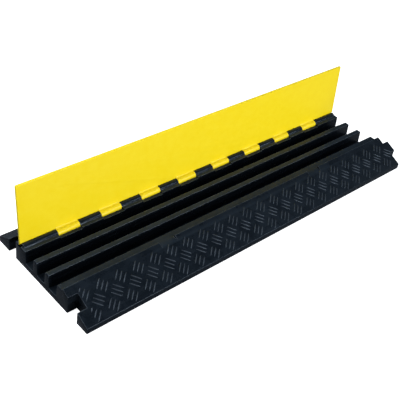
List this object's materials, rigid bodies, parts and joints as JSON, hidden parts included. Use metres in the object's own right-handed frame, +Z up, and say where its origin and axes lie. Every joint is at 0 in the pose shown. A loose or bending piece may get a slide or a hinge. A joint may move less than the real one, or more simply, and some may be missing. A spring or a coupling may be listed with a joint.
{
  "type": "floor cable ramp",
  "caption": "Straight section of a rubber floor cable ramp with open cable channels, a treaded front ramp, interlocking ends and a hinged yellow lid standing open.",
  "frame": {"origin": "on the underside, in the middle of the tread ramp's length and of the section's width", "axes": "+X along the length towards the end with the tongues, -Y towards the treaded front ramp, +Z up"},
  "size_m": [1.02, 0.31, 0.185],
  "materials": {
    "base_rubber": "moulded, semi-matt black with a soft bluish sheen",
    "lid_plastic": "moulded, satin bright yellow",
    "rod_steel": "plain drawn"
  },
  "bodies": {
    "base": {"base": "base_rubber", "hinge_rod": "rod_steel"},
    "lid": {"lid": "lid_plastic"}
  },
  "joints": [
    {"name": "lid_hinge", "type": "hinge", "parent": "base", "child": "lid", "pos_m": [-0.007, 0.07322, 0.042], "axis": [1, 0, 0], "range_deg": [0, 96]}
  ]
}
